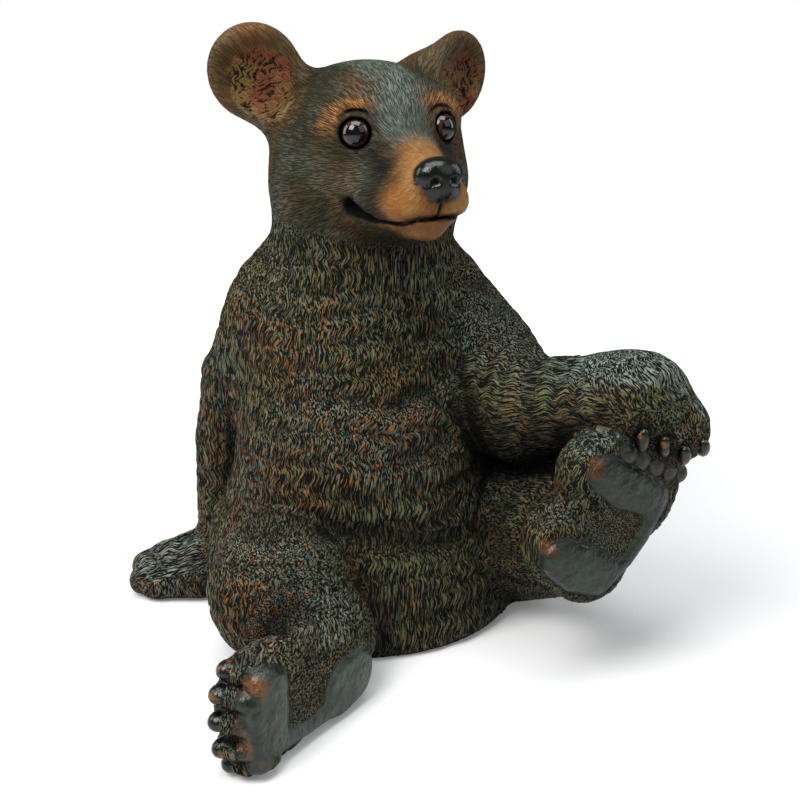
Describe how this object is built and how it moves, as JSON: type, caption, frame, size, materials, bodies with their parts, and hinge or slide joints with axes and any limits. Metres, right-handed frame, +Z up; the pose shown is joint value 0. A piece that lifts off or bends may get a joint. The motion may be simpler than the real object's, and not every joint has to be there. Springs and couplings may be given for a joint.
{
  "type": "garden statue",
  "caption": "Seated bear cub garden figure with one foot lifted towards its hand, carved fur and inset glass eyes, standing on its own flat base",
  "frame": {"origin": "middle of the flat underside of the rump, on the ground", "axes": "+Z up, the bear faces -Y, its left side is +X"},
  "size_m": [0.5076, 0.501, 0.5987],
  "materials": {
    "coat": "hand-painted cast resin, satin, dark brown with grey-green and rust dry brushing",
    "eye_right": "polished dark glass, reddish-brown iris",
    "eye_left": "polished dark glass, reddish-brown iris"
  },
  "bodies": {
    "root": {"bear": "coat", "eye_right": "eye_right", "eye_left": "eye_left"}
  },
  "joints": []
}
